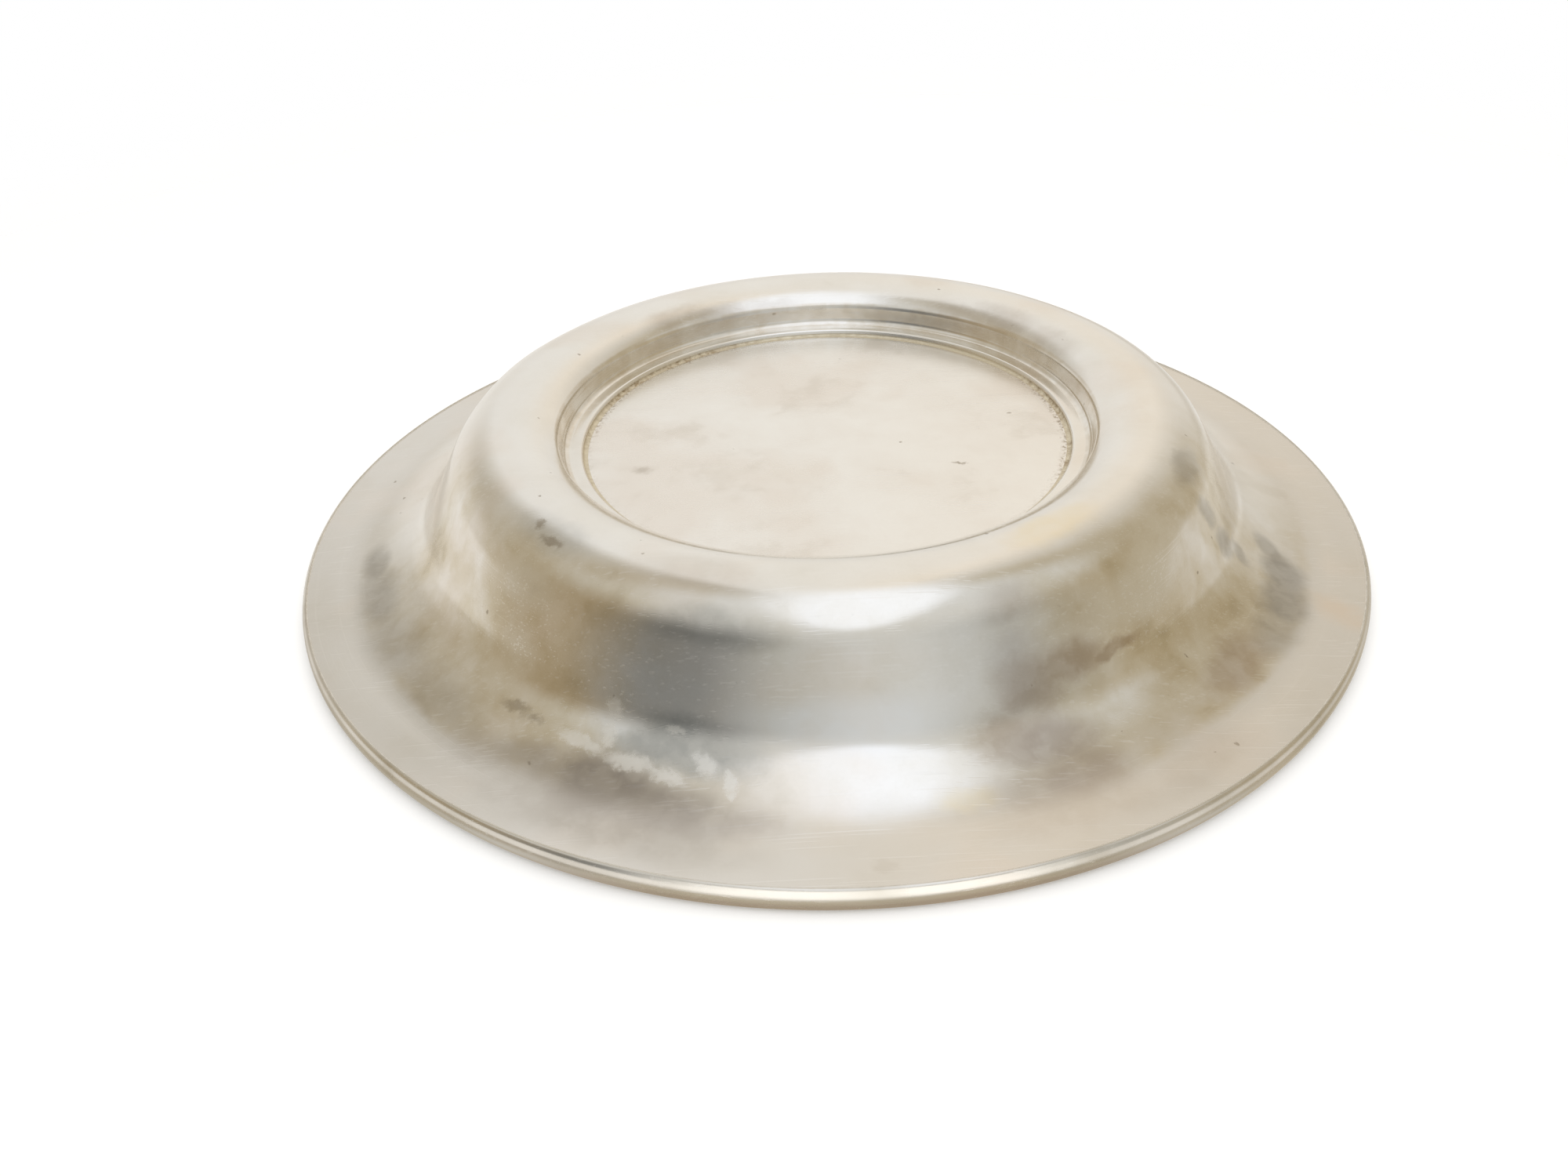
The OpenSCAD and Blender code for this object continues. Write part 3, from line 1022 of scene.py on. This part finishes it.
def card_tones(tree, west, south):
    """Tones of the cards around the tent."""
    around = calc(tree, "ADD", calc(tree, "DIVIDE", calc(tree, "ARCTAN2", west, south), 2 * math.pi), 0.5)
    ramp = node(tree, "ShaderNodeValToRGB", {0: around})
    stops = ramp.color_ramp.elements
    for k, (angle, tone) in enumerate(CARDS):
        spot = (angle + 180) / 360
        stop = stops[k] if k < 2 else stops.new(spot)
        stop.position = spot
        stop.color = (*TONES[tone], 1)
    return ramp.outputs[0]


def tent_material():
    material, tree = new_material("tent_cards")
    parts = split(tree, vector(tree, "NORMALIZE", {0: local_place(tree)}))
    rise = calc(tree, "ABSOLUTE", parts[2])
    west = calc(tree, "MULTIPLY", parts[0], -1.0)
    south = calc(tree, "MULTIPLY", parts[1], -1.0)
    height = calc(tree, "DEGREES", calc(tree, "ARCSINE", rise))
    low = calc(tree, "MULTIPLY", step(tree, height, *LOW_HEIGHT), step(tree, south, *LOW_BACK))
    low = calc(tree, "MULTIPLY", low, step(tree, west, *LOW_SIDE))
    cards = blend(tree, low, card_tones(tree, west, south), (*LOW, 1))
    upper = calc(tree, "MULTIPLY", step(tree, height, *UPPER_HEIGHT), step(tree, south, *UPPER_FRONT))
    cards = blend(tree, upper, cards, (*UPPER, 1))
    away = panel_reach(tree, calc(tree, "DIVIDE", west, rise), calc(tree, "DIVIDE", south, rise))
    above = step(tree, parts[2], *PANEL_ABOVE_LIMITS)
    white = blend(tree, above, (*PANEL, 1), (*PANEL_ABOVE, 1))
    show(tree, glowing(tree, blend(tree, step(tree, away, *PANEL_SOFT), cards, white)))
    return material


def make_tent():
    bpy.ops.mesh.primitive_uv_sphere_add(segments=TENT_SEGMENTS, ring_count=TENT_RINGS, radius=TENT_R)
    tent = bpy.context.object
    tent.name = "light_tent"
    tent.data.materials.append(tent_material())
    tent.visible_camera = False


def floor_material():
    """Pale floor, seen from its front only, that fades into the white around it."""
    material, tree = new_material("pale_floor")
    away = step(tree, length(tree, local_place(tree)), *FLOOR_FADE)
    back = node(tree, "ShaderNodeNewGeometry").outputs["Backfacing"]
    paper = node(tree, "ShaderNodeBsdfDiffuse", {"Color": FLOOR_TONE}).outputs[0]
    paper = mixed(tree, FLOOR_GLOW, paper, glowing(tree, WHITE))
    show(tree, mixed(tree, calc(tree, "MAXIMUM", away, back), paper, see_through(tree)))
    return material


def card_ring_material():
    """Pale card, seen from its front only."""
    material, tree = new_material("pale_card")
    back = node(tree, "ShaderNodeNewGeometry").outputs["Backfacing"]
    place = local_place(tree)
    parts = split(tree, place)
    outside = step(tree, length(tree, place), *CREAM_OUT)
    cream = calc(tree, "MAXIMUM", step(tree, parts[1], *CREAM_NEAR), outside)
    cream = calc(tree, "MULTIPLY", step(tree, parts[0], *CREAM_SIDE), cream)
    tone = blend(tree, cream, (*CARD_RING, 1), (*TONES["cream"], 1))
    show(tree, mixed(tree, back, glowing(tree, tone), see_through(tree)))
    return material


def near_card_material(name, tone, half, outward=None):
    """A card that is seen at the near edge only and fades to both sides."""
    material, tree = new_material(name)
    place = local_place(tree)
    parts = split(tree, place)
    share = step(tree, calc(tree, "ABSOLUTE", parts[0]), *half)
    share = calc(tree, "MULTIPLY", share, step(tree, parts[1], *NEAR_FADE))
    colour = (*tone, 1)
    if outward:
        colour = blend(tree, step(tree, length(tree, place), *RIM_SHADE_TURN), colour, (*outward, 1))
    show(tree, mixed(tree, share, see_through(tree), glowing(tree, colour)))
    return material


def make_ring(name, z, facing, hole_r, material, outer_r=FLOOR_R, drop=0.0):
    """A flat ring whose front faces up or down, or a hoop that hangs down."""
    count = STAGE_SEGMENTS
    angles = np.arange(count) * 2 * math.pi / count
    edges = ((hole_r, 0), (outer_r, -drop))
    verts = [(r * math.cos(a), r * math.sin(a), h) for r, h in edges for a in angles]
    faces = [(i, i + count, (i + 1) % count + count, (i + 1) % count) for i in range(count)]
    if facing < 0:
        faces = [face[::-1] for face in faces]
    mesh = bpy.data.meshes.new(name)
    mesh.from_pydata(verts, [], faces)
    mesh.materials.append(material)
    ring = bpy.data.objects.new(name, mesh)
    ring.location = (0, 0, z)
    bpy.context.scene.collection.objects.link(ring)
    ring.visible_diffuse = False
    ring.visible_glossy = False
    ring.visible_transmission = False
    ring.visible_shadow = False
    return ring


def make_floors():
    """A floor under the foot, and one at the rim for views from below."""
    paper = floor_material()
    make_ring("floor_under_foot", -FLOOR_GAP, 1, FLOOR_HOLE_R, paper)
    make_ring("floor_at_rim", OVERALL_H * MM + FLOOR_GAP, -1, FLOOR_HOLE_R, paper)


def make_rim_cards():
    """Cards around the rim, which only the silver shows."""
    card_z = OVERALL_H * MM + CARD_GAP
    bright = near_card_material("rim_card", RIM_CARD, RIM_CARD_HALF)
    brown = near_card_material("rim_shade", RIM_SHADE, RIM_SHADE_HALF, TONES["tan"])
    cards = [
        make_ring("card_ring", card_z, -1, CARD_RING_HOLE_R, card_ring_material()),
        make_ring("rim_card", RIM_CARD_TOP, 1, RIM_CARD_R, bright, RIM_CARD_R, RIM_CARD_H),
        make_ring("rim_shade", card_z, -1, RIM_SHADE_R, brown, RIM_CARD_R),
    ]
    for card in cards:
        card.visible_camera = False
        card.visible_glossy = True


def make_lamp(name, side):
    light = bpy.data.lights.new(name, "AREA")
    light.shape = "DISK"
    light.size = LAMP_SIZE
    light.energy = LAMP_POWER
    lamp = bpy.data.objects.new(name, light)
    lamp.location = (0, 0, side * LAMP_DISTANCE)
    lamp.rotation_euler = (0 if side > 0 else math.pi, 0, 0)
    lamp.visible_glossy = False
    bpy.context.scene.collection.objects.link(lamp)


def make_world():
    world = bpy.data.worlds.new("white")
    world.use_nodes = True
    world.node_tree.nodes["Background"].inputs[0].default_value = WHITE
    world.node_tree.nodes["Background"].inputs[1].default_value = 1.0
    bpy.context.scene.world = world


def make_camera():
    """The picture shows the bowl turned over, so this camera looks up from below, turned over as well."""
    tilt, roll = math.radians(TILT), math.radians(ROLL)
    forward = np.array([0, math.cos(tilt), -math.sin(tilt)])
    right = np.array([1.0, 0, 0])
    down = np.cross(forward, right)
    spin = np.array([[math.cos(roll), -math.sin(roll), 0], [math.sin(roll), math.cos(roll), 0], [0, 0, 1]])
    axes = spin @ np.array([right, down, forward])
    ray = np.array([
        (RIM_MIDDLE_PX[0] - PICTURE_W / 2) / FOCAL_PX,
        (RIM_MIDDLE_PX[1] - PICTURE_H / 2) / FOCAL_PX,
        1.0,
    ])
    place = -axes.T @ (DISTANCE * ray / np.linalg.norm(ray))
    over = np.diag([-1.0, 1.0, -1.0])
    place = over @ place + [0, 0, RIM_MIDDLE_Z]
    data = bpy.data.cameras.new("camera")
    data.sensor_width = SENSOR_W
    data.lens = FOCAL_PX * SENSOR_W / PICTURE_W
    data.clip_start = CLIP_START
    camera = bpy.data.objects.new("camera", data)
    bpy.context.scene.collection.objects.link(camera)
    matrix = np.eye(4)
    matrix[:3] = np.stack([over @ axes[0], -over @ axes[1], -over @ axes[2], place * MM], 1)
    camera.matrix_world = Matrix(matrix.tolist())
    bpy.context.scene.camera = camera


make_camera()
make_body()
make_plate()
make_wire()
make_base_seam()
make_rim_seam()
make_world()
make_tent()
make_floors()
make_rim_cards()
make_lamp("lamp_above", 1)
make_lamp("lamp_below", -1)
bpy.context.scene.view_settings.view_transform = "Standard"
